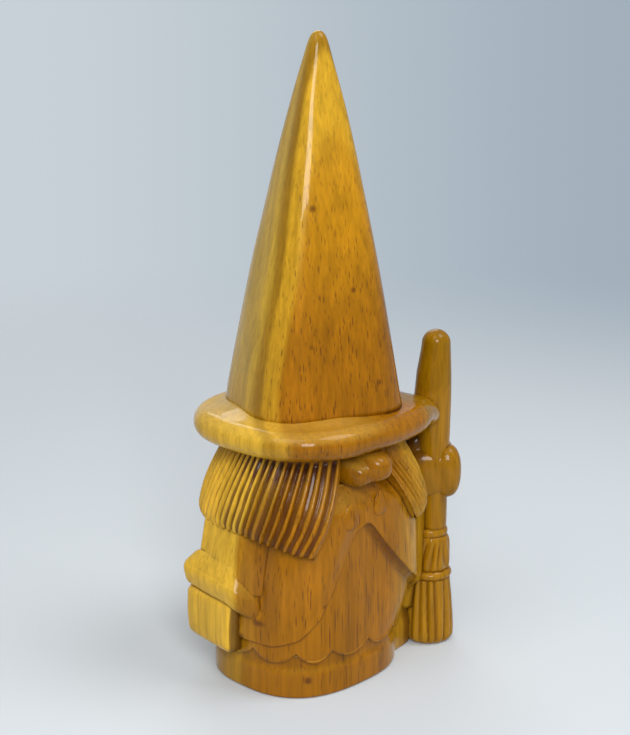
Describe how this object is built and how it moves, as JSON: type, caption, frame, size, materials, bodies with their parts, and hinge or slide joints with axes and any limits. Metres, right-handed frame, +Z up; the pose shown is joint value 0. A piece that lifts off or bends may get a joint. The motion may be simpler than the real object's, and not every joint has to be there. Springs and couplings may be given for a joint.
{
  "type": "gnome figurine",
  "caption": "Carved wooden gnome with a tall pointed hat, long grooved hair and a cloak over a scalloped tunic, holding a broom. A standing ornament.",
  "frame": {"origin": "middle of the underside of the base block", "axes": "+Z up along the grain to the tip of the hat; the figure faces -Y and holds its broom on +X"},
  "size_m": [0.0881, 0.065, 0.2],
  "materials": {
    "amber_wood": "gloss varnish",
    "stained_wood": "gloss varnish",
    "pale_wood": "gloss varnish"
  },
  "bodies": {
    "root": {"base_block": "amber_wood", "tunic": "amber_wood", "cloak": "amber_wood", "cloak_tie_right": "amber_wood", "cloak_tie_left": "amber_wood", "head": "amber_wood", "nose": "amber_wood", "hat_brim": "amber_wood", "hat_crown": "amber_wood", "hair_right_lock": "stained_wood", "hair_left_lock": "stained_wood", "hair_back": "stained_wood", "right_sleeve": "pale_wood", "right_cuff": "pale_wood", "right_hand": "pale_wood", "left_sleeve": "pale_wood", "left_cuff": "pale_wood", "left_hand": "pale_wood", "broom_stick": "pale_wood", "broom_collar": "pale_wood", "broom_head": "pale_wood", "broom_band": "pale_wood", "broom_bristles": "pale_wood"}
  },
  "joints": []
}
